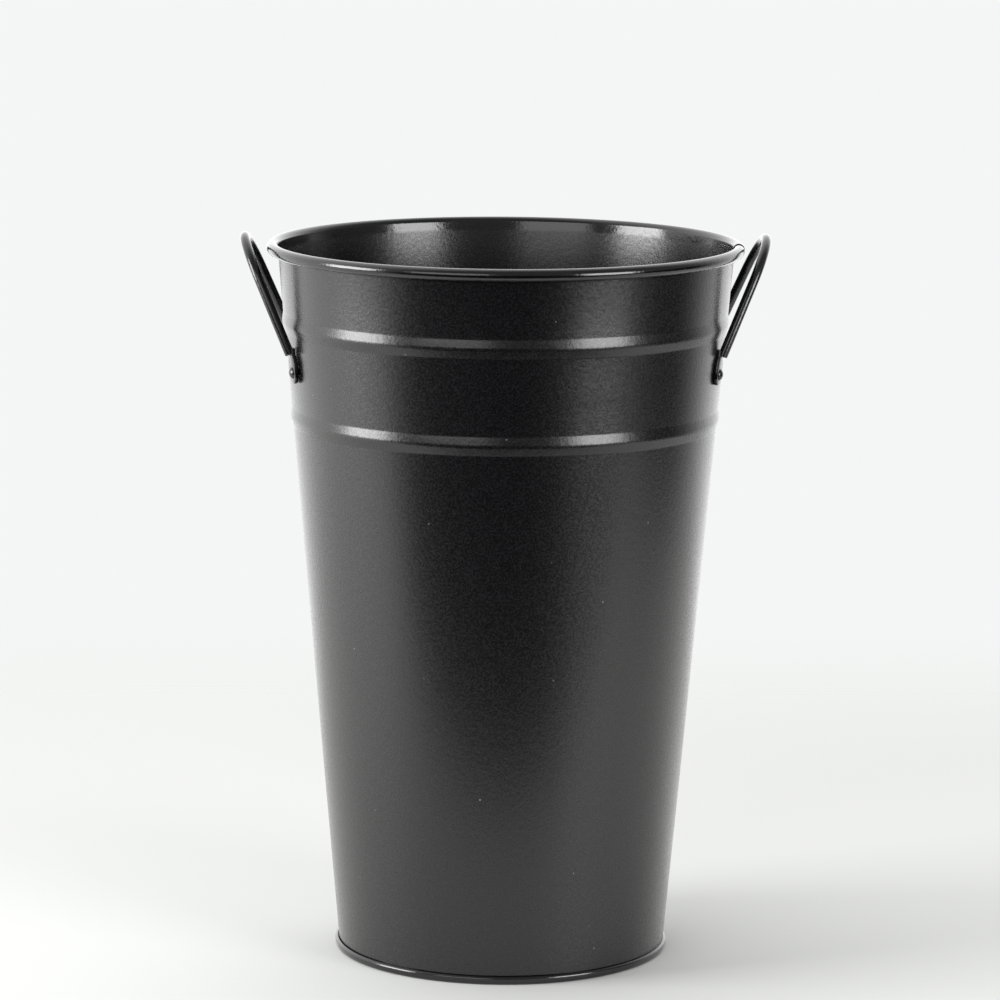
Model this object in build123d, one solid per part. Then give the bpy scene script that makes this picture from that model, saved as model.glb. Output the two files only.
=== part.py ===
from build123d import *
import os
from math import asin, atan, cos, degrees, radians, sin, sqrt, tan

# A tall florist bucket in painted sheet steel, in millimetres. +Z is up. The origin is the centre
# of the ring that the bucket stands on, the two ear handles are on the X axis, and the lapped side
# seam of the wall is under the handle on the +X side.

# Overall sizes
RIM_DIAMETER = 240.0
RIM_TOP = 362.0
HEM_DIAMETER = 170.0
HEM_HEIGHT = 4.2
SHEET = 0.5

# Wall: a cone of one sheet, its two stiffening beads, its rolled rim and its side seam
FOOT_DIAMETER = 166.0          # over the wall, just above the hem
RIM_BEAD_RADIUS = 3.0
RIM_ROLL = 300.0               # degrees that the sheet turns through in the rim
BEAD_HEIGHTS = (274.3, 322.2)  # middle of each stiffening bead above the floor
BEAD_WIDTH = 9.6
BEAD_PEAK = 1.0                # the bead's flanks would meet this far out
BEAD_CREST_RADIUS = 5.0
BEAD_FOOT_RADIUS = 4.0
LAP_STEP = 0.45                # the outer layer stands out by this, so the layers are pressed together
LAP_PAST = 9.0                 # degrees that the outer layer runs on past the handle's middle
LAP_SHORT = 2.5                # degrees that the inner layer starts before it
FLANGE_LEVEL = 1.5
FLANGE_RADIUS = 83.9
FLANGE_BEND = 0.7

# Base: a pressed disc, folded round the wall's flange to make the bottom hem
PANEL_LEVEL = 3.0
BASE_GAP = 0.35                # between the wall and the base's upstand
PANEL_BEND = 1.2
HEM_BEND = 1.15
HEM_LIP_RADIUS = 83.55
SEAL_INNER_RADIUS = 82.45
SEAL_OUTER_RADIUS = 84.3

# Handles: one bent wire each, its two ends flattened into tabs
WIRE_DIAMETER = 4.8
HANDLE_LEAN = 23.0             # degrees from the vertical
HANDLE_FOOT_LEVEL = 309.0      # where the round wire ends and the tab begins
HANDLE_FOOT_SPACING = 70.0
HANDLE_REACH = 59.7            # from the feet to the crown, in the plane of the handle
HANDLE_CORNER = 22.0           # the legs' lines meet the crown's line this far from the middle
HANDLE_BEND_RADIUS = 27.0
WIRE_GAP = 0.6                 # between the wall and the end of the round wire
TAB_THICKNESS = 2.0
TAB_WIDTH = 9.0
TAB_NECK_WIDTH = 4.4
TAB_LENGTH = 14.5
TAB_SHOULDER = 3.5             # the tab widens over this far, and its neck runs as far up the wire
TAB_GAP = 0.02

# Rivets: one through each tab and the wall
RIVET_SHANK_DIAMETER = 3.2
RIVET_HEAD_DIAMETER = 6.2
RIVET_HEAD_HEIGHT = 1.6
RIVET_TAIL_DIAMETER = 5.2
RIVET_TAIL_HEIGHT = 1.2
RIVET_TAIL_ROUND = 0.4
RIVET_HOLE_CUT = 20.0          # length of the cutter that makes a rivet hole, longer than any grip
RIVET_DROP = 9.0               # from the tab's shoulder line down to the rivet
SEATING_GAP = 0.05             # a flat head or tail stands this far off the curved sheet

# Worked out from the sizes above
rim_centre_radius = RIM_DIAMETER / 2 - RIM_BEAD_RADIUS
rim_centre_level = RIM_TOP - RIM_BEAD_RADIUS
rim_roll_radius = RIM_BEAD_RADIUS - SHEET / 2
wall_spread = rim_centre_radius - RIM_BEAD_RADIUS + SHEET - FOOT_DIAMETER / 2
taper = atan(wall_spread / (rim_centre_level - HEM_HEIGHT))


def wall_middle(level):
    """Radius of the middle of the wall's sheet at a height, leaving out the beads."""
    at_rim = rim_centre_radius - rim_roll_radius / cos(taper)
    return at_rim - (rim_centre_level - level) * tan(taper)


def wall_outside(level):
    """Radius of the wall's outer face at a height."""
    return wall_middle(level) + SHEET / 2 / cos(taper)


def sheet_section(path):
    """The cut face, on the XZ plane, of a sheet whose middle follows a path of (radius, height)."""
    return Plane.XZ * trace(path, SHEET)


def lap_offset(azimuth):
    """How far the wall's faces stand out, at an angle round the bucket, because of the side seam."""
    if sin(radians(azimuth)) >= 0:
        return 0.0
    return LAP_STEP / 2 * (1 + cos(radians(azimuth)))


def wall_section():
    """The wall's section: flange at the foot, cone with two beads, and the roll at the rim."""
    points = [(FLANGE_RADIUS, FLANGE_LEVEL), (wall_middle(FLANGE_LEVEL), FLANGE_LEVEL)]
    bends = [FLANGE_BEND]
    for middle in BEAD_HEIGHTS:
        for rise, out in ((-BEAD_WIDTH / 2, 0), (0, BEAD_PEAK), (BEAD_WIDTH / 2, 0)):
            points.append((wall_middle(middle + rise) + out, middle + rise))
        bends += [BEAD_FOOT_RADIUS, BEAD_CREST_RADIUS, BEAD_FOOT_RADIUS]
    roll_start = (
        rim_centre_radius - rim_roll_radius * cos(taper),
        rim_centre_level + rim_roll_radius * sin(taper),
    )
    cone = FilletPolyline(*points, roll_start, radius=bends)
    centre = (rim_centre_radius, rim_centre_level)
    roll = CenterArc(centre, rim_roll_radius, 180 - degrees(taper), -RIM_ROLL)
    return sheet_section(Curve() + cone + roll)


def make_wall(rivets):
    """One rolled sheet. Its front end laps outside its rear end under the +X handle.

    The rear half turns about the bucket's axis. The front half turns about an axis moved by half the
    lap step, so the two halves run into each other at -X and stand one sheet apart at +X.
    """
    section = wall_section()
    outer_section = Pos(LAP_STEP, 0, 0) * section
    moved_axis = (LAP_STEP / 2, 0, 0)
    rear = revolve(section, Axis((0, 0, 0), (0, 0, 1)), 180)
    rear_end = revolve(section, Axis((0, 0, 0), (0, 0, -1)), LAP_SHORT)
    front = revolve(outer_section, Axis(moved_axis, (0, 0, -1)), 180)
    front_end = revolve(outer_section, Axis(moved_axis, (0, 0, 1)), LAP_PAST)
    return cut_rivet_holes(front + front_end + rear + rear_end, rivets)


def make_base():
    """The pressed disc: a raised panel, its upstand inside the wall, and the folded hem."""
    upstand = wall_middle(PANEL_LEVEL / 2) - SHEET - BASE_GAP
    hem_middle = HEM_DIAMETER / 2 - SHEET / 2
    lower = SHEET / 2
    upper = HEM_HEIGHT - SHEET / 2
    path = FilletPolyline(
        (0, PANEL_LEVEL),
        (upstand, PANEL_LEVEL),
        (upstand, lower),
        (hem_middle, lower),
        (hem_middle, upper),
        (HEM_LIP_RADIUS, upper),
        radius=[PANEL_BEND, HEM_BEND, HEM_BEND, HEM_BEND],
    )
    return revolve(sheet_section(Curve() + path), Axis.Z, 360)


def make_seal(base):
    """The ring of sealing compound between the base and the wall's flange."""
    width = SEAL_OUTER_RADIUS - SEAL_INNER_RADIUS
    height = FLANGE_LEVEL - SHEET / 2 - SHEET
    middle = (SEAL_OUTER_RADIUS + SEAL_INNER_RADIUS) / 2
    section = Plane.XZ * Pos(middle, SHEET + height / 2) * Rectangle(width, height)
    return revolve(section, Axis.Z, 360) - base


def foot_reach():
    """Radius from the bucket's axis to the middle of the wire at a handle's foot."""
    return wall_outside(HANDLE_FOOT_LEVEL) + WIRE_GAP + WIRE_DIAMETER / 2


def foot_azimuths(facing):
    """Angles round the bucket of a handle's two feet, for a handle that faces a given angle."""
    turn = degrees(asin(HANDLE_FOOT_SPACING / 2 / foot_reach()))
    return (facing - turn, facing + turn)


def rivet_place(azimuth):
    """Where a rivet crosses the wall's outer face, with its own Z axis square to the wall, outwards."""
    level = HANDLE_FOOT_LEVEL - RIVET_DROP
    reach = wall_outside(level) + lap_offset(azimuth)
    return Rot(0, 0, azimuth) * Pos(reach, 0, level) * Rot(0, 90 + degrees(taper), 0)


def cut_rivet_holes(sheet, azimuths):
    """The sheet with a hole for the rivet at each of these angles."""
    for azimuth in azimuths:
        sheet -= rivet_place(azimuth) * Cylinder(RIVET_SHANK_DIAMETER / 2, RIVET_HOLE_CUT)
    return sheet


def make_wire(facing):
    """The round part of a handle: two legs that lean out from the wall, bent over at the crown."""
    half = HANDLE_FOOT_SPACING / 2
    lean = radians(HANDLE_LEAN)
    plane = Plane(
        origin=(sqrt(foot_reach() ** 2 - half**2), 0, HANDLE_FOOT_LEVEL),
        x_dir=(0, 1, 0),
        z_dir=(cos(lean), 0, -sin(lean)),
    )
    path = plane * FilletPolyline(
        (-half, 0),
        (-HANDLE_CORNER, HANDLE_REACH),
        (HANDLE_CORNER, HANDLE_REACH),
        (half, 0),
        radius=HANDLE_BEND_RADIUS,
    )
    section = Plane(path @ 0, z_dir=path % 0) * Circle(WIRE_DIAMETER / 2)
    return Rot(0, 0, facing) * sweep(section, path)


def make_tab(azimuth):
    """A wire end flattened into a spade with a round tip, pressed to the curve of the wall."""
    half = TAB_WIDTH / 2
    neck = TAB_NECK_WIDTH / 2
    tip = TAB_LENGTH - half
    spade = Polyline(
        (-half, -tip), (-half, -TAB_SHOULDER), (-neck, 0), (-neck, TAB_SHOULDER),
        (neck, TAB_SHOULDER), (neck, 0), (half, -TAB_SHOULDER), (half, -tip),
    )
    round_tip = ThreePointArc((half, -tip), (0, -TAB_LENGTH), (-half, -tip))
    outward = Plane(origin=(0, 0, HANDLE_FOOT_LEVEL), x_dir=(0, 1, 0), z_dir=(1, 0, 0))
    outline = outward * make_face(Curve() + spade + round_tip)
    block = extrude(outline, 2 * foot_reach())
    low = HANDLE_FOOT_LEVEL - 2 * TAB_LENGTH
    high = HANDLE_FOOT_LEVEL + 2 * TAB_LENGTH
    inside = lap_offset(azimuth) + TAB_GAP
    outside = inside + TAB_THICKNESS / cos(taper)
    band = Plane.XZ * make_face(
        Polyline(
            (wall_outside(low) + inside, low), (wall_outside(low) + outside, low),
            (wall_outside(high) + outside, high), (wall_outside(high) + inside, high),
            close=True,
        )
    )
    return Rot(0, 0, azimuth) * (block & revolve(band, Axis.Z, 360))


def make_handle(facing):
    """One ear handle: the bent wire and its two flattened ends, in one piece."""
    handle = make_wire(facing)
    for azimuth in foot_azimuths(facing):
        handle += make_tab(azimuth)
    return cut_rivet_holes(handle, foot_azimuths(facing))


def dome(diameter, height):
    """A shallow dome that stands on the XY plane."""
    ball = ((diameter / 2) ** 2 + height**2) / (2 * height)
    return Pos(0, 0, height - ball) * Sphere(ball) & Pos(0, 0, height) * Cylinder(diameter / 2, 2 * height)


def make_rivet(azimuth):
    """A solid rivet: a round head on the tab, a shank, and a flat tail upset inside the wall."""
    face = TAB_THICKNESS + TAB_GAP + SEATING_GAP
    back = -SHEET - SEATING_GAP
    middle = (face + back) / 2
    shank = Pos(0, 0, middle) * Cylinder(RIVET_SHANK_DIAMETER / 2, face - back)
    head = Pos(0, 0, face) * dome(RIVET_HEAD_DIAMETER, RIVET_HEAD_HEIGHT)
    tail = Pos(0, 0, back - RIVET_TAIL_HEIGHT / 2) * Cylinder(RIVET_TAIL_DIAMETER / 2, RIVET_TAIL_HEIGHT)
    tail = fillet(tail.faces().sort_by(Axis.Z)[0].edges(), RIVET_TAIL_ROUND)
    return rivet_place(azimuth) * (shank + head + tail)


HANDLES = {"right": 0, "left": 180}
rivet_azimuths = [azimuth for facing in HANDLES.values() for azimuth in foot_azimuths(facing)]

base_disc = make_base()
parts = {
    "body_wall": make_wall(rivet_azimuths),
    "base_disc": base_disc,
    "base_seal": make_seal(base_disc),
}
for side, facing in HANDLES.items():
    parts[f"handle_{side}"] = make_handle(facing)
    for azimuth in foot_azimuths(facing):
        end = "rear" if sin(radians(azimuth)) > 0 else "front"
        parts[f"rivet_{side}_{end}"] = make_rivet(azimuth)

os.makedirs("parts", exist_ok=True)
for name, shape in parts.items():
    export_step(shape, f"parts/{name}.step")
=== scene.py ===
from math import asin, atan, atan2, cos, hypot, pi, radians, sin, sqrt, tan

import bmesh
import bpy
from mathutils import Matrix, Vector


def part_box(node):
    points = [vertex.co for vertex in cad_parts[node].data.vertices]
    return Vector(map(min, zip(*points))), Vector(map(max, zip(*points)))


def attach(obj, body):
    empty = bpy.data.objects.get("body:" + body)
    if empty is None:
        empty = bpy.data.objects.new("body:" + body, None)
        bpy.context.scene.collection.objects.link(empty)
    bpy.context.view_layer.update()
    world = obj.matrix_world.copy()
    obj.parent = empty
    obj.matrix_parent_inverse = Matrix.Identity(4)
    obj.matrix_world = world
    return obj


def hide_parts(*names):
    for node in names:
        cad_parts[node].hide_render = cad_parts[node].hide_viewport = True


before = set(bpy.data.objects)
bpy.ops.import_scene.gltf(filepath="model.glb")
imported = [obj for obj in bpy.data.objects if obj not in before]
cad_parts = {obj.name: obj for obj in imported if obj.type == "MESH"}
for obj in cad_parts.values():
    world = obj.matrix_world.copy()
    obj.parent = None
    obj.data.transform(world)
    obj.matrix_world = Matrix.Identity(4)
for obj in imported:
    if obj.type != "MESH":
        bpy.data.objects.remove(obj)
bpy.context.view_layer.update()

# The object is a florist bucket: a cone of thin sheet steel with a rolled rim, a folded-in bottom and
# two riveted wire handles, all sprayed satin black. Lengths are in metres, worked out from the CAD
# boxes and from sizes in millimetres.

# ---------------------------------------------------------------------------------------------------
# The wall. One blank of 0.5 mm sheet steel, beaded, rolled into a cone and lapped at the side, under the
# right handle. Its foot is flanged outwards for the bottom seam, and its top edge is rolled outwards.

MM = 0.001
SHEET = 0.5 * MM
TIGHT = 0.02 * MM                 # air between two layers of sheet pressed together
FRONT_END = radians(9)            # where the front half's edge stops, on the outside of the wall
REAR_END = radians(-2.5)          # where the rear half's edge stops, inside the wall and outside the roll
LAP_RAMP = (radians(22), radians(80))     # the outer layer settles back to the round between these
NECK_RAMP = (radians(0), radians(7))      # the front's roll is swaged down towards its end between these
NECK_DEPTH = 0.85 * MM
NECK_START = radians(60)          # and from the wall up to the full depth over this much of the roll
NECK_MARGIN = radians(1)          # keeps the roll's first line clear of the full turn
RIM_ROLL_RADIUS = 3.0 * MM
RIM_ROLL_TURN = radians(300)      # that the sheet turns through in the rim
FOOT_RADIUS = 83.0 * MM           # over the wall, just above the hem
FLANGE_LEVEL = 1.5 * MM
FLANGE_RADIUS = 83.9 * MM
FLANGE_BEND = 0.7 * MM
BEAD_LEVELS = (274.3 * MM, 322.2 * MM)    # middle of each stiffening bead above the floor
BEAD_WIDTH = 9.6 * MM
BEAD_PEAK = 1.0 * MM              # the bead's flanks would meet this far out
BEAD_CREST_RADIUS = 5.0 * MM
BEAD_FOOT_RADIUS = 4.0 * MM
RIVET_ROWS = (296 * MM, 304 * MM)         # the sheet is divided here, above and below the rivet holes
EDGE_ROUND = 0.1 * MM
BEND_SEGMENTS = 5                 # flats in each rounded corner of a section
ROLL_STEPS = 36                   # flats round the rim's roll
FRONT_STEPS = 180                 # and round the front and the rear half of the bucket
REAR_STEPS = 192
MERGE = 0.001 * MM                # vertices nearer than this are one
CUT_EDGE = radians(60)            # edges sharper than this are rounded: a sheet's cut edges, not its bends
CREASE = radians(35)              # sharper edges than this are shaded as edges

rim_radius = -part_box("body_wall")[0].x
rim_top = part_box("body_wall")[1].z
hem_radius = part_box("base_disc")[1].x
hem_height = 4.2 * MM
rim_centre = Vector((rim_radius - RIM_ROLL_RADIUS, 0, rim_top - RIM_ROLL_RADIUS))
roll_radius = RIM_ROLL_RADIUS - SHEET / 2
taper = atan((rim_centre.x - RIM_ROLL_RADIUS + SHEET - FOOT_RADIUS) / (rim_centre.z - hem_height))


def wall_middle(level):
    """Radius of the middle of the wall's sheet at a height, leaving out the beads."""
    return rim_centre.x - roll_radius / cos(taper) - (rim_centre.z - level) * tan(taper)


def start_line(name, radius, level):
    """A new mesh in edit mode, with one vertex from which a section is drawn on the XZ plane."""
    bpy.ops.object.select_all(action="DESELECT")
    bpy.ops.mesh.primitive_plane_add(size=MM)
    piece = bpy.context.object
    piece.name = name
    bpy.ops.object.mode_set(mode="EDIT")
    bpy.ops.mesh.select_mode(type="VERT")
    bpy.ops.mesh.select_all(action="SELECT")
    bpy.ops.mesh.merge(type="CENTER")
    bpy.ops.transform.translate(value=(radius, 0, level))
    return piece


def draw_to(piece, radius, level):
    """Carries the section on in a straight line from its selected end."""
    end = next(v for v in bmesh.from_edit_mesh(piece.data).verts if v.select)
    step = (radius - end.co.x, 0, level - end.co.z)
    bpy.ops.mesh.extrude_region_move(TRANSFORM_OT_translate={"value": step})


def select_where(piece, test):
    """Selects the vertices in edit mode that pass a test of their place, and what lies between them."""
    mesh = bmesh.from_edit_mesh(piece.data)
    bpy.ops.mesh.select_all(action="DESELECT")
    for vertex in mesh.verts:
        vertex.select = test(vertex.co)
    mesh.select_flush(True)
    bmesh.update_edit_mesh(piece.data)


def round_corner(piece, radius, level, bend, turn):
    """Rounds one corner of the section to a bend radius. turn is the angle through which it turns."""
    corner = Vector((radius, 0, level))
    select_where(piece, lambda place: (place - corner).length < MERGE)
    bpy.ops.mesh.bevel(offset=bend * tan(turn / 2), segments=BEND_SEGMENTS, affect="VERTICES")


def turn_section(steps, angle):
    """Spins what is selected round the bucket's axis, clockwise seen from above."""
    bpy.ops.mesh.spin(steps=steps, angle=angle, center=(0, 0, 0), axis=(0, 0, 1))


def round_edges(piece, width, segments):
    """Rounds the piece's sharp edges."""
    bpy.context.view_layer.objects.active = piece
    edges = piece.modifiers.new("edges", "BEVEL")
    edges.width = width
    edges.segments = segments
    edges.limit_method = "ANGLE"
    edges.angle_limit = CUT_EDGE
    bpy.ops.object.modifier_apply(modifier=edges.name)


def finish_sheet(piece):
    """Gives a drawn surface the sheet's thickness, takes the sharpness off its cut edges and smooths it."""
    bpy.ops.object.mode_set(mode="OBJECT")
    thickness = piece.modifiers.new("thickness", "SOLIDIFY")
    thickness.thickness = SHEET
    thickness.offset = 0
    bpy.ops.object.modifier_apply(modifier=thickness.name)
    round_edges(piece, EDGE_ROUND, 2)
    bpy.ops.object.shade_smooth_by_angle(angle=CREASE)


def point_outwards(piece):
    """Turns all faces of the surface one way, so that its largest face looks away from the axis."""
    bpy.ops.mesh.select_all(action="SELECT")
    bpy.ops.mesh.normals_make_consistent(inside=False)
    mesh = bmesh.from_edit_mesh(piece.data)
    face = max(mesh.faces, key=lambda f: f.calc_area())
    middle = face.calc_center_median()
    if face.normal.x * middle.x + face.normal.y * middle.y < 0:
        bpy.ops.mesh.flip_normals()


def settled(value, ramp):
    """0 before a ramp, 1 after it, and smooth between."""
    gone = min(max((value - ramp[0]) / (ramp[1] - ramp[0]), 0), 1)
    return gone * gone * (3 - 2 * gone)


def azimuth_of(place):
    """Angle round the bucket, from the right handle, anticlockwise seen from above."""
    return atan2(place.y, place.x)


def share_of_roll(place):
    """0 on the wall and where the rim's roll leaves it, and 1 once the roll has turned well over."""
    across = hypot(place.x, place.y) - rim_centre.x
    rise = place.z - rim_centre.z
    if abs(hypot(across, rise) - roll_radius) > TIGHT:
        return 0.0
    turned = (pi - taper + NECK_MARGIN - atan2(rise, across)) % (2 * pi)
    return settled(turned, (NECK_MARGIN, NECK_START))


wall = start_line("wall_sheet", FLANGE_RADIUS, FLANGE_LEVEL)
draw_to(wall, wall_middle(FLANGE_LEVEL), FLANGE_LEVEL)
for level in BEAD_LEVELS:
    draw_to(wall, wall_middle(level - BEAD_WIDTH / 2), level - BEAD_WIDTH / 2)
    draw_to(wall, wall_middle(level) + BEAD_PEAK, level)
    draw_to(wall, wall_middle(level + BEAD_WIDTH / 2), level + BEAD_WIDTH / 2)
    if level < RIVET_ROWS[0]:
        for row in RIVET_ROWS:
            draw_to(wall, wall_middle(row), row)
roll_start = rim_centre + roll_radius * Vector((-cos(taper), 0, sin(taper)))
draw_to(wall, roll_start.x, roll_start.z)
bpy.ops.mesh.spin(steps=ROLL_STEPS, angle=RIM_ROLL_TURN, center=rim_centre, axis=(0, -1, 0))

round_corner(wall, wall_middle(FLANGE_LEVEL), FLANGE_LEVEL, FLANGE_BEND, pi / 2 - taper)
flank = atan(BEAD_PEAK / (BEAD_WIDTH / 2))
for level in BEAD_LEVELS:
    for foot in (level - BEAD_WIDTH / 2, level + BEAD_WIDTH / 2):
        round_corner(wall, wall_middle(foot), foot, BEAD_FOOT_RADIUS, flank)
    round_corner(wall, wall_middle(level) + BEAD_PEAK, level, BEAD_CREST_RADIUS, 2 * flank)

# The front half is turned first. Near the seam it stands one sheet outside the rear half. Outside the
# wall means inside the roll, where its end is swaged down further and goes into the rear half's end.
# The rear half then starts from its far edge.
bpy.ops.mesh.select_all(action="SELECT")
bpy.ops.transform.rotate(value=-FRONT_END, orient_axis="Z", center_override=(0, 0, 0))
turn_section(FRONT_STEPS, pi)
point_outwards(wall)
mesh = bmesh.from_edit_mesh(wall.data)
outward = {vertex: vertex.normal.copy() for vertex in mesh.verts}
for vertex, normal in outward.items():
    from_seam = -azimuth_of(vertex.co)
    in_wall = (SHEET + TIGHT) * (1 - settled(from_seam, LAP_RAMP))
    in_roll = NECK_DEPTH * (1 - settled(from_seam, NECK_RAMP))
    share = share_of_roll(vertex.co)
    vertex.co += normal * (in_wall * (1 - share) + in_roll * share)
far_edge = FRONT_END - pi
half_step = pi / FRONT_STEPS / 2
select_where(wall, lambda place: abs(azimuth_of(place) - far_edge) < half_step)
turn_section(REAR_STEPS, pi + FRONT_END - REAR_END)
point_outwards(wall)
finish_sheet(wall)
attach(wall, "root")
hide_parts("body_wall")

PAINT_BLACK = "#050506"
OVERSPRAY_GREY = "#0B0B0E"        # a haze of half-dry droplets that settles as the coat dries
OVERSPRAY_SHARE = (0.42, 0.68)    # of the grain's height: where the haze starts and is full
DUST_GREY = "#5C5D61"
PAINT_ROUGHNESS = (0.23, 0.30)    # from the grain's hollows to its tops
GRAIN_HOLLOW = 0.3
GRAIN_TOP = 0.7
ORANGE_PEEL = 2.4 * MM            # from one swelling of the sprayed coat to the next
ORANGE_PEEL_HEIGHT = 0.045 * MM
GRAIN = 1.0 * MM                  # fine spray grain, drawn as coarse as it needs to be to show
GRAIN_HEIGHT = 0.030 * MM
RIPPLE = 34 * MM                  # long waves that the rollers leave in thin sheet
RIPPLE_HEIGHT = 0.03 * MM
SPECK_CELL = 12 * MM              # at most one dust speck in a cell this wide
SPECK_SIZE = 0.5 * MM
WORKED_GLOSS = 0.55               # the rim and the hem are worked smooth: their share of the wall's roughness
PAINT_IOR = 1.5

# Going up, the hem's gloss gives way to the wall's, and the wall's to the rim's, between these levels.
HEM_FADE = (hem_height, 1.2 * hem_height)
RIM_FADE = (rim_top - 2.5 * RIM_ROLL_RADIUS, rim_top - 2 * RIM_ROLL_RADIUS)


def linear(colour):
    """An sRGB hex colour as the linear RGBA that shaders use."""
    channels = [int(colour[i:i + 2], 16) / 255 for i in (1, 3, 5)]
    return (*[c / 12.92 if c <= 0.04045 else ((c + 0.055) / 1.055) ** 2.4 for c in channels], 1)


def add(tree, kind, inputs=(), **settings):
    """Adds a node with its settings. inputs pairs each socket with a value or with what feeds it."""
    node = tree.nodes.new(kind)
    for name, value in settings.items():
        setattr(node, name, value)
    for socket, value in dict(inputs).items():
        if isinstance(value, bpy.types.NodeSocket):
            tree.links.new(value, node.inputs[socket])
        else:
            node.inputs[socket].default_value = value
    return node


def new_material(name):
    """A material with an empty node tree, and its output node."""
    material = bpy.data.materials.new(name)
    material.use_nodes = True
    material.node_tree.nodes.clear()
    return material, material.node_tree, add(material.node_tree, "ShaderNodeOutputMaterial")


def sprayed_paint(name, roughness, specks, ripple_height):
    """Air-dried satin black enamel, sprayed: almost no colour of its own, so it shows as its reflections.

    Its gloss is broken by orange peel and a fine grain, with a haze of overspray and some settled dust.
    """
    material, tree, output = new_material(name)
    place = add(tree, "ShaderNodeTexCoord").outputs["Object"]
    grain = add(tree, "ShaderNodeTexNoise", {"Vector": place, "Scale": 1 / GRAIN, "Detail": 2.0})
    dull = add(tree, "ShaderNodeMapRange", {
        "Value": grain.outputs["Fac"], "From Min": GRAIN_HOLLOW, "From Max": GRAIN_TOP,
        "To Min": roughness[0], "To Max": roughness[1],
    }, interpolation_type="SMOOTHSTEP")
    level = add(tree, "ShaderNodeSeparateXYZ", {"Vector": place}).outputs["Z"]
    gloss = dull
    for fade, below, above in ((RIM_FADE, 1.0, WORKED_GLOSS), (HEM_FADE, WORKED_GLOSS, 1.0)):
        worked = add(tree, "ShaderNodeMapRange", {
            "Value": level, "From Min": fade[0], "From Max": fade[1], "To Min": below, "To Max": above,
        })
        gloss = add(tree, "ShaderNodeMath", {0: gloss.outputs[0], 1: worked.outputs[0]}, operation="MULTIPLY")
    cells = add(tree, "ShaderNodeTexVoronoi", {"Vector": place, "Scale": 1 / SPECK_CELL, "Randomness": 1.0})
    reach = add(tree, "ShaderNodeMath", {
        0: add(tree, "ShaderNodeSeparateColor", {"Color": cells.outputs["Color"]}).outputs["Red"],
        1: SPECK_SIZE / SPECK_CELL,
    }, operation="MULTIPLY")
    dust = add(tree, "ShaderNodeMath", {
        0: cells.outputs["Distance"], 1: reach.outputs[0],
    }, operation="LESS_THAN")
    dust_kept = add(tree, "ShaderNodeMath", {0: dust.outputs[0], 1: specks}, operation="MULTIPLY")
    haze = add(tree, "ShaderNodeMapRange", {
        "Value": grain.outputs["Fac"], "From Min": OVERSPRAY_SHARE[0], "From Max": OVERSPRAY_SHARE[1],
    }, interpolation_type="SMOOTHSTEP")
    coat = add(tree, "ShaderNodeMix", {
        "Factor": haze.outputs[0], "A": linear(PAINT_BLACK), "B": linear(OVERSPRAY_GREY),
    }, data_type="RGBA")
    colour = add(tree, "ShaderNodeMix", {
        "Factor": dust_kept.outputs[0], "A": coat.outputs["Result"], "B": linear(DUST_GREY),
    }, data_type="RGBA")
    ripple = add(tree, "ShaderNodeTexNoise", {"Vector": place, "Scale": 1 / RIPPLE, "Detail": 1.0})
    peel = add(tree, "ShaderNodeTexNoise", {"Vector": place, "Scale": 1 / ORANGE_PEEL, "Detail": 1.0})
    waves = add(tree, "ShaderNodeBump", {"Height": ripple.outputs["Fac"], "Distance": ripple_height})
    skin = add(tree, "ShaderNodeBump", {
        "Height": peel.outputs["Fac"], "Distance": ORANGE_PEEL_HEIGHT, "Normal": waves.outputs[0],
    })
    fine = add(tree, "ShaderNodeBump", {
        "Height": grain.outputs["Fac"], "Distance": GRAIN_HEIGHT, "Normal": skin.outputs[0],
    })
    shader = add(tree, "ShaderNodeBsdfPrincipled", {
        "Base Color": colour.outputs["Result"], "Roughness": gloss.outputs[0], "IOR": PAINT_IOR,
        "Normal": fine.outputs[0],
    })
    tree.links.new(shader.outputs[0], output.inputs["Surface"])
    return material


wall_paint = sprayed_paint("satin_black_enamel", PAINT_ROUGHNESS, specks=1.0, ripple_height=RIPPLE_HEIGHT)
wall.data.materials.append(wall_paint)


# ---------------------------------------------------------------------------------------------------
# The base. A pressed disc of the same sheet: its panel is raised on an upstand that fits inside the
# wall, and its edge is folded round the wall's flange, which makes the hem that the bucket stands on.

PANEL_LEVEL = 3.0 * MM
PANEL_BEND = 1.2 * MM
HEM_BEND = 1.15 * MM
HEM_LIP_RADIUS = 83.55 * MM
BASE_GAP = 0.35 * MM              # between the upstand and the wall
BASE_STEPS = 240

upstand = wall_middle(PANEL_LEVEL / 2) - SHEET - BASE_GAP
hem_middle = hem_radius - SHEET / 2
hem_low = SHEET / 2
hem_high = hem_height - SHEET / 2
base = start_line("base_pressing", 0, PANEL_LEVEL)
corners = ((upstand, PANEL_LEVEL), (upstand, hem_low), (hem_middle, hem_low), (hem_middle, hem_high))
for radius, level in corners:
    draw_to(base, radius, level)
draw_to(base, HEM_LIP_RADIUS, hem_high)
for (radius, level), bend in zip(corners, (PANEL_BEND, HEM_BEND, HEM_BEND, HEM_BEND)):
    round_corner(base, radius, level, bend, pi / 2)
bpy.ops.mesh.select_all(action="SELECT")
turn_section(BASE_STEPS, 2 * pi)
bpy.ops.mesh.select_all(action="SELECT")
bpy.ops.mesh.remove_doubles(threshold=MERGE)
bpy.ops.mesh.normals_make_consistent(inside=False)
finish_sheet(base)
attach(base, "root")
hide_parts("base_disc")
base.data.materials.append(wall_paint)


# ---------------------------------------------------------------------------------------------------
# The seal. A bead of latex sealing compound laid in the bottom seam before it is folded shut, which
# makes the bucket hold water. It dries to a dull rubbery grey.

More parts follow.
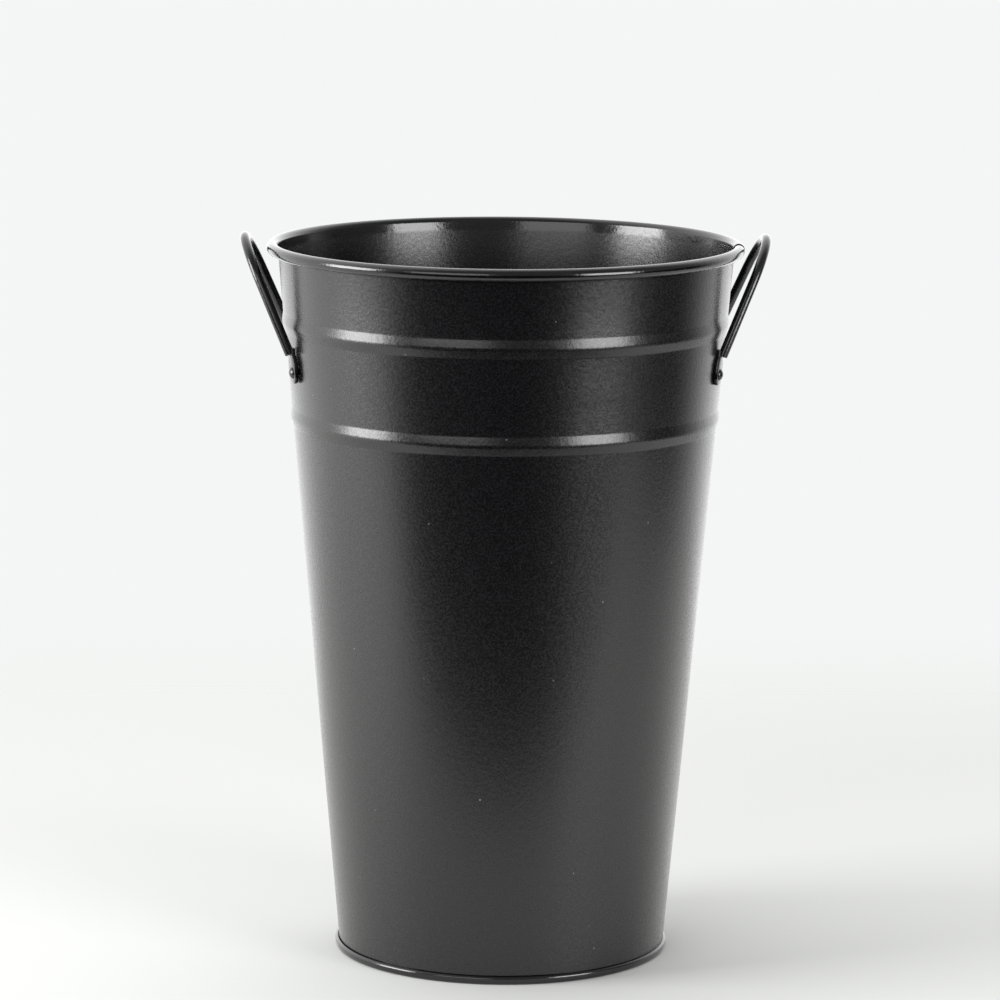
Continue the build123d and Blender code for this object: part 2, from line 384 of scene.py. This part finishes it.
SEAL_GREY = "#8E8C84"
SEAL_SHADES = (0.8, 1.1)          # its colour is uneven by this much
SEAL_ROUGHNESS = 0.75
SEAL_GRAIN = 0.8 * MM             # from one lump to the next
SEAL_GRAIN_HEIGHT = 0.1 * MM

# Dried latex compound: matt and slightly lumpy, as it was squeezed out of its nozzle.
seal_material, tree, output = new_material("dried_latex_compound")
place = add(tree, "ShaderNodeTexCoord").outputs["Object"]
lumps = add(tree, "ShaderNodeTexNoise", {"Vector": place, "Scale": 1 / SEAL_GRAIN, "Detail": 2.0})
shade = add(tree, "ShaderNodeMapRange", {
    "Value": lumps.outputs["Fac"], "To Min": SEAL_SHADES[0], "To Max": SEAL_SHADES[1],
})
tint = add(tree, "ShaderNodeVectorMath", {
    0: linear(SEAL_GREY)[:3], "Scale": shade.outputs[0],
}, operation="SCALE")
swell = add(tree, "ShaderNodeBump", {"Height": lumps.outputs["Fac"], "Distance": SEAL_GRAIN_HEIGHT})
latex = add(tree, "ShaderNodeBsdfPrincipled", {
    "Base Color": tint.outputs[0], "Roughness": SEAL_ROUGHNESS, "Normal": swell.outputs[0],
})
tree.links.new(latex.outputs[0], output.inputs["Surface"])


def refinish(node, material):
    """Gives a CAD node that stays visible its material."""
    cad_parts[node].data.materials.clear()
    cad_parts[node].data.materials.append(material)


refinish("base_seal", seal_material)


# ---------------------------------------------------------------------------------------------------
# The two ear handles. Each is one length of 4.8 mm steel wire: its ends are struck flat into round
# spade tabs that lie on the wall, and the wire between is bent over a former into a tall loop.

WIRE_RADIUS = 2.4 * MM
WIRE_SIDES = 32
WIRE_END_ROUND = 0.45 * MM
WIRE_BEND_STEPS = 24
HANDLE_LEAN = radians(23)         # from upright, away from the wall
FOOT_LEVEL = 309.0 * MM           # where the round wire starts, on its tabs
FOOT_SPACING = 70.0 * MM
HANDLE_REACH = 59.7 * MM          # from the feet to the top of the wire's centre line
HANDLE_CORNER = 22.0 * MM         # from the middle to where a leg's line meets the top's line
HANDLE_BEND = 27.0 * MM
WIRE_GAP = 0.6 * MM               # between the wire's foot and the wall
TAB_THICKNESS = 2.0 * MM
TAB_WIDTH = 9.0 * MM
TAB_NECK_WIDTH = 4.4 * MM
TAB_LENGTH = 14.5 * MM            # from the foot's level down
TAB_SHOULDER = 3.5 * MM           # the neck's height, and the height over which it widens
TAB_END_SEGMENTS = 10
TAB_EDGE_ROUND = 0.35 * MM
TAB_GAP = 0.04 * MM               # air between a tab and the wall
NEAR = 0.1 * MM                   # room round a line whose vertices are selected
WIRE_ROUGHNESS = (0.18, 0.26)     # paint lies glossier on drawn wire than on sheet


def wall_outside(level):
    """Radius of the wall's outer face at a height."""
    return wall_middle(level) + SHEET / 2 / cos(taper)


def lap_offset(azimuth):
    """How far the wall stands out at an angle round the bucket, where its outer layer is lapped."""
    if sin(azimuth) >= 0:
        return 0.0
    return (SHEET + TIGHT) * (1 - settled(-azimuth, LAP_RAMP))


foot_reach = wall_outside(FOOT_LEVEL) + WIRE_GAP + WIRE_RADIUS
foot_turn = asin(FOOT_SPACING / 2 / foot_reach)


def make_wire(name):
    """The round wire of a handle that faces +X: a circle carried up a leg, round two bends and down."""
    half = FOOT_SPACING / 2
    splay = atan((half - HANDLE_CORNER) / HANDLE_REACH)
    turn = pi / 2 - splay
    cut = HANDLE_BEND * tan(turn / 2)
    leg_length = sqrt(HANDLE_REACH ** 2 + (half - HANDLE_CORNER) ** 2) - cut
    leg = leg_length * Vector((0, sin(splay), cos(splay)))
    crown = Vector((0, 2 * (HANDLE_CORNER - cut), 0))
    bend_centre = Vector((0, -half, 0)) + leg + HANDLE_BEND * Vector((0, cos(splay), -sin(splay)))
    bpy.ops.object.select_all(action="DESELECT")
    bpy.ops.mesh.primitive_circle_add(
        vertices=WIRE_SIDES, radius=WIRE_RADIUS, location=(0, -half, 0), rotation=(-splay, 0, 0))
    wire = bpy.context.object
    wire.name = name
    bpy.ops.object.transform_apply(location=True, rotation=True, scale=True)
    bpy.ops.object.mode_set(mode="EDIT")
    bpy.ops.mesh.select_mode(type="EDGE")
    bpy.ops.mesh.select_all(action="SELECT")
    bpy.ops.mesh.extrude_region_move(TRANSFORM_OT_translate={"value": leg})
    bpy.ops.mesh.spin(steps=WIRE_BEND_STEPS, angle=turn, center=bend_centre, axis=(1, 0, 0))
    bpy.ops.mesh.extrude_region_move(TRANSFORM_OT_translate={"value": crown})
    bpy.ops.mesh.spin(steps=WIRE_BEND_STEPS, angle=turn, center=bend_centre + crown, axis=(1, 0, 0))
    bpy.ops.mesh.extrude_region_move(TRANSFORM_OT_translate={"value": (0, leg.y, -leg.z)})
    bpy.ops.mesh.select_all(action="SELECT")
    bpy.ops.mesh.remove_doubles(threshold=MERGE)
    bpy.ops.mesh.select_all(action="DESELECT")
    bpy.ops.mesh.select_non_manifold()
    bpy.ops.mesh.edge_face_add()
    bpy.ops.mesh.select_all(action="SELECT")
    bpy.ops.mesh.normals_make_consistent(inside=False)
    bpy.ops.object.mode_set(mode="OBJECT")
    return wire


def make_tab(name):
    """A spade tab, flat and with its neck upwards: drawn as a strip, widened, rounded and thickened."""
    bpy.ops.object.select_all(action="DESELECT")
    bpy.ops.mesh.primitive_plane_add(size=1, rotation=(0, pi / 2, 0))
    tab = bpy.context.object
    tab.name = name
    tab.scale = (TAB_SHOULDER, TAB_NECK_WIDTH, 1)
    bpy.ops.object.transform_apply(location=True, rotation=True, scale=True)
    bpy.ops.object.mode_set(mode="EDIT")
    bpy.ops.mesh.select_mode(type="VERT")
    bpy.ops.mesh.select_all(action="SELECT")
    bpy.ops.transform.translate(value=(0, 0, TAB_SHOULDER / 2))
    select_where(tab, lambda place: place.z < NEAR)
    bpy.ops.mesh.extrude_region_move(TRANSFORM_OT_translate={"value": (0, 0, -TAB_SHOULDER)})
    bpy.ops.transform.resize(value=(1, TAB_WIDTH / TAB_NECK_WIDTH, 1))
    bpy.ops.mesh.extrude_region_move(TRANSFORM_OT_translate={"value": (0, 0, TAB_SHOULDER - TAB_LENGTH)})
    select_where(tab, lambda place: place.z < NEAR - TAB_LENGTH)
    bpy.ops.mesh.bevel(offset=TAB_WIDTH / 2, segments=TAB_END_SEGMENTS, affect="VERTICES")
    bpy.ops.mesh.select_all(action="SELECT")
    bpy.ops.mesh.remove_doubles(threshold=MERGE)
    bpy.ops.mesh.extrude_region_move(TRANSFORM_OT_translate={"value": (TAB_THICKNESS, 0, 0)})
    bpy.ops.mesh.select_all(action="SELECT")
    bpy.ops.mesh.normals_make_consistent(inside=False)
    bpy.ops.object.mode_set(mode="OBJECT")
    return tab


def put(piece, location, rotation):
    """Moves and turns a piece and settles its place into its mesh."""
    bpy.ops.object.select_all(action="DESELECT")
    piece.select_set(True)
    bpy.context.view_layer.objects.active = piece
    piece.location = location
    piece.rotation_euler = rotation
    bpy.ops.object.transform_apply(location=True, rotation=True, scale=True)


def unite(piece, other, operation="UNION"):
    """Welds another closed piece on, or cuts it away, and removes the other."""
    bpy.context.view_layer.objects.active = piece
    weld = piece.modifiers.new("weld", "BOOLEAN")
    weld.operation = operation
    weld.solver = "EXACT"
    weld.object = other
    bpy.ops.object.modifier_apply(modifier=weld.name)
    bpy.data.objects.remove(other)


handle_paint = sprayed_paint("satin_black_enamel_on_wire", WIRE_ROUGHNESS, specks=0.0, ripple_height=0.0)
foot_place = (sqrt(foot_reach ** 2 - (FOOT_SPACING / 2) ** 2), 0, FOOT_LEVEL)
handles = {"right": 0, "left": pi}
for side, facing in handles.items():
    handle = make_wire(f"handle_wire_{side}")
    round_edges(handle, WIRE_END_ROUND, 3)
    put(handle, foot_place, (0, HANDLE_LEAN, 0))
    put(handle, (0, 0, 0), (0, 0, facing))
    for azimuth in (facing - foot_turn, facing + foot_turn):
        tab = make_tab("tab")
        round_edges(tab, TAB_EDGE_ROUND, 2)
        reach = wall_outside(FOOT_LEVEL) + lap_offset(azimuth) + TAB_GAP
        put(tab, (reach * cos(azimuth), reach * sin(azimuth), FOOT_LEVEL), (0, taper, azimuth))
        unite(handle, tab)
    bpy.ops.object.select_all(action="DESELECT")
    handle.select_set(True)
    bpy.ops.object.shade_smooth_by_angle(angle=CREASE)
    handle.data.materials.clear()
    handle.data.materials.append(handle_paint)
    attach(handle, "root")
    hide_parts(f"handle_{side}")


# ---------------------------------------------------------------------------------------------------
# The four rivets. Solid mild steel rivets with low round heads, each through a tab and the wall, where
# its tail is hammered flat. They are sprayed over with everything else.

RIVET_DROP = 9.0 * MM             # from the tab's shoulder line down to the rivet
RIVET_SHANK = 1.6 * MM
RIVET_HEAD = 3.1 * MM
RIVET_HEAD_HEIGHT = 1.6 * MM
RIVET_TAIL = 2.6 * MM
RIVET_TAIL_HEIGHT = 1.2 * MM
RIVET_EDGE_ROUND = 0.3 * MM
RIVET_SEAT = 0.05 * MM            # air under the head and over the tail
RIVET_SIDES = 40
RIVET_HEAD_STEPS = 8
HOLE_CUT = 12 * MM                # longer than any tab and wall are thick

head_level = TAB_GAP + TAB_THICKNESS + RIVET_SEAT
tail_level = -SHEET - RIVET_SEAT
head_ball = (RIVET_HEAD ** 2 + RIVET_HEAD_HEIGHT ** 2) / (2 * RIVET_HEAD_HEIGHT)
rivet_level = FOOT_LEVEL - RIVET_DROP


def make_rivet(name):
    """A rivet that stands on its tail, turned from its section."""
    rivet = start_line(name, 0, tail_level - RIVET_TAIL_HEIGHT)
    corners = (
        (RIVET_TAIL, tail_level - RIVET_TAIL_HEIGHT), (RIVET_TAIL, tail_level), (RIVET_SHANK, tail_level),
        (RIVET_SHANK, head_level), (RIVET_HEAD, head_level),
    )
    for radius, level in corners:
        draw_to(rivet, radius, level)
    middle = (0, 0, head_level + RIVET_HEAD_HEIGHT - head_ball)
    dome = asin(RIVET_HEAD / head_ball)
    bpy.ops.mesh.spin(steps=RIVET_HEAD_STEPS, angle=dome, center=middle, axis=(0, 1, 0))
    bpy.ops.mesh.select_all(action="SELECT")
    turn_section(RIVET_SIDES, 2 * pi)
    bpy.ops.mesh.select_all(action="SELECT")
    bpy.ops.mesh.remove_doubles(threshold=MERGE)
    bpy.ops.mesh.normals_make_consistent(inside=False)
    bpy.ops.object.mode_set(mode="OBJECT")
    round_edges(rivet, RIVET_EDGE_ROUND, 3)
    bpy.ops.object.shade_smooth_by_angle(angle=CREASE)
    return rivet


def punch(piece, place, turn):
    """Cuts a rivet hole through a piece."""
    bpy.ops.object.select_all(action="DESELECT")
    bpy.ops.mesh.primitive_cylinder_add(vertices=RIVET_SIDES, radius=RIVET_SHANK, depth=HOLE_CUT)
    cutter = bpy.context.object
    put(cutter, place, turn)
    unite(piece, cutter, "DIFFERENCE")


rivet_paint = sprayed_paint("satin_black_enamel_on_rivet", WIRE_ROUGHNESS, specks=0.0, ripple_height=0.0)
for side, facing in handles.items():
    for azimuth in (facing - foot_turn, facing + foot_turn):
        end = "front" if sin(azimuth) < 0 else "rear"
        reach = wall_outside(rivet_level) + lap_offset(azimuth)
        place = (reach * cos(azimuth), reach * sin(azimuth), rivet_level)
        turn = (0, pi / 2 + taper, azimuth)
        punch(wall, place, turn)
        punch(bpy.data.objects[f"handle_wire_{side}"], place, turn)
        rivet = make_rivet(f"rivet_turned_{side}_{end}")
        put(rivet, place, turn)
        rivet.data.materials.append(rivet_paint)
        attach(rivet, "root")
        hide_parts(f"rivet_{side}_{end}")


# ---------------------------------------------------------------------------------------------------
# The table: a plain pale board. It stops short in front, where the studio is dark, and elsewhere fades
# into the white backdrop. The board that is seen has a whiter one just below it, for the bucket to reflect.

TABLE_SIZE = 4.0
TABLE_WHITE = "#CBCCCA"
BOUNCE_WHITE = "#F2F2F0"
BOUNCE_DROP = 1 * MM
TABLE_FRONT = (-0.46, -0.33)      # it fades out towards the front between these
TABLE_BACK = (0.30, 0.85)         # towards the back between these
TABLE_SIDE = (0.75, 1.0)          # and towards either side between these


def make_table(name, level, colour):
    """A level board that fades out at its borders, of matt laminate: no gloss, so it takes soft shadows."""
    bpy.ops.object.select_all(action="DESELECT")
    bpy.ops.mesh.primitive_plane_add(size=TABLE_SIZE)
    board = bpy.context.object
    board.name = name
    put(board, (0, 0, level), (0, 0, 0))
    material, tree, output = new_material(f"matt_laminate_{name}")
    place = add(tree, "ShaderNodeTexCoord").outputs["Object"]
    parts = add(tree, "ShaderNodeSeparateXYZ", {"Vector": place})
    depth = parts.outputs["Y"]
    sideways = add(tree, "ShaderNodeMath", {0: parts.outputs["X"]}, operation="ABSOLUTE").outputs[0]
    kept = 1.0
    for distance, reach, near, far in (
        (depth, TABLE_FRONT, 0, 1), (depth, TABLE_BACK, 1, 0), (sideways, TABLE_SIDE, 1, 0),
    ):
        fade = add(tree, "ShaderNodeMapRange", {
            "Value": distance, "From Min": reach[0], "From Max": reach[1], "To Min": near, "To Max": far,
        }, interpolation_type="SMOOTHSTEP")
        kept = add(tree, "ShaderNodeMath", {0: kept, 1: fade.outputs[0]}, operation="MULTIPLY").outputs[0]
    matt = add(tree, "ShaderNodeBsdfDiffuse", {"Color": linear(colour)})
    clear = add(tree, "ShaderNodeBsdfTransparent")
    mixed = add(tree, "ShaderNodeMixShader", {0: kept, 1: clear.outputs[0], 2: matt.outputs[0]})
    tree.links.new(mixed.outputs[0], output.inputs["Surface"])
    board.data.materials.append(material)
    return board


table = make_table("table", 0, TABLE_WHITE)
table.visible_glossy = False
table.visible_diffuse = False
table.visible_shadow = False
bounce = make_table("bounce_sheet", -BOUNCE_DROP, BOUNCE_WHITE)
bounce.visible_camera = False


# ---------------------------------------------------------------------------------------------------
# The light: a white backdrop that wraps round behind, a dim room in front, a soft box on a stand at each
# side, and a large dim panel in front that fills the shadows. The camera sees plain white past the table.

BACKDROP_WHITE = "#F4F6F5"
ROOM_BACK = 2.0                   # radiance of the backdrop behind the bucket
ROOM_FRONT = (0.02, 0.40)         # and of the room in front, below and above the table's level
ROOM_RISE = (-0.02, 0.12)         # from below to above, as the sine of the height
ROOM_FADE = (-0.30, 0.50)         # from front to back, as the cosine of the angle from the brightest side
ROOM_BRIGHTEST = radians(25)      # from straight behind the bucket round to its left
BOX_HEIGHT = 0.95
SOFT_BOXES = {          # radiance, angle from the camera's side, distance, height of the middle, width
    "soft_box_left": (12.0, radians(-78), 1.8, 0.52, 0.9),
    "soft_box_right": (9.0, radians(48), 1.9, 0.42, 0.9),
    "fill_panel": (2.0, radians(-28), 2.0, 0.80, 1.4),
}

world = bpy.data.worlds.new("studio")
bpy.context.scene.world = world
world.use_nodes = True
tree = world.node_tree
tree.nodes.clear()
direction = add(tree, "ShaderNodeTexCoord").outputs["Generated"]
along = add(tree, "ShaderNodeVectorMath", {
    0: direction, 1: (-sin(ROOM_BRIGHTEST), cos(ROOM_BRIGHTEST), 0),
}, operation="DOT_PRODUCT")
in_front = add(tree, "ShaderNodeMapRange", {
    "Value": add(tree, "ShaderNodeSeparateXYZ", {"Vector": direction}).outputs["Z"],
    "From Min": ROOM_RISE[0], "From Max": ROOM_RISE[1], "To Min": ROOM_FRONT[0], "To Max": ROOM_FRONT[1],
}, interpolation_type="SMOOTHSTEP")
behind = add(tree, "ShaderNodeMapRange", {
    "Value": along.outputs["Value"],
    "From Min": ROOM_FADE[0], "From Max": ROOM_FADE[1], "To Min": in_front.outputs[0], "To Max": ROOM_BACK,
}, interpolation_type="SMOOTHSTEP")
room = add(tree, "ShaderNodeBackground", {"Color": (1, 1, 1, 1), "Strength": behind.outputs[0]})
backdrop = add(tree, "ShaderNodeBackground", {"Color": linear(BACKDROP_WHITE), "Strength": 1.0})
seen = add(tree, "ShaderNodeLightPath").outputs["Is Camera Ray"]
chosen = add(tree, "ShaderNodeMixShader", {0: seen, 1: room.outputs[0], 2: backdrop.outputs[0]})
output = add(tree, "ShaderNodeOutputWorld", {"Surface": chosen.outputs[0]})

for name, (radiance, angle, distance, height, width) in SOFT_BOXES.items():
    lamp = bpy.data.lights.new(name, "AREA")
    lamp.shape = "RECTANGLE"
    lamp.size = width
    lamp.size_y = BOX_HEIGHT
    lamp.energy = 4 * radiance * width * BOX_HEIGHT     # its radiance is a quarter of its watts for each m2
    soft_box = bpy.data.objects.new(name, lamp)
    bpy.context.scene.collection.objects.link(soft_box)
    soft_box.location = (distance * sin(angle), -distance * cos(angle), height)
    aim = Vector((0, 0, rim_top / 2)) - soft_box.location
    soft_box.rotation_euler = aim.to_track_quat("-Z", "Y").to_euler()
    soft_box.visible_camera = False


# ---------------------------------------------------------------------------------------------------
# The camera: a long lens a little above the rim, looking down at the bucket from the front.

CAMERA_DISTANCE = 2.3691
CAMERA_HEIGHT = 0.6312
CAMERA_TURN = radians(-1.3)       # the camera stands this far round the bucket from its front
CAMERA_PITCH = 0.1676             # radians below the horizon
CAMERA_YAW = -0.0008
CAMERA_ROLL = 0.0074
LENS = 170.7                      # focal length in millimetres, over a sensor this wide
SENSOR = 36.0
FARTHEST = 30.0                   # nothing past this is drawn

ahead = Vector((
    sin(CAMERA_YAW) * cos(CAMERA_PITCH), cos(CAMERA_YAW) * cos(CAMERA_PITCH), -sin(CAMERA_PITCH),
))
across = ahead.cross(Vector((0, 0, 1))).normalized()
upward = across.cross(ahead)
level_across = cos(CAMERA_ROLL) * across + sin(CAMERA_ROLL) * upward
level_upward = cos(CAMERA_ROLL) * upward - sin(CAMERA_ROLL) * across
axes = Matrix((level_across, level_upward, -ahead)).transposed().to_4x4()
stand = Matrix.Translation((0, -CAMERA_DISTANCE, CAMERA_HEIGHT))
camera_data = bpy.data.cameras.new("camera")
camera_data.lens = LENS
camera_data.sensor_width = SENSOR
camera_data.clip_end = FARTHEST
camera = bpy.data.objects.new("camera", camera_data)
bpy.context.scene.collection.objects.link(camera)
camera.matrix_world = Matrix.Rotation(CAMERA_TURN, 4, "Z") @ stand @ axes
bpy.context.scene.camera = camera
bpy.context.scene.view_settings.view_transform = "Standard"
bpy.context.scene.view_settings.look = "None"
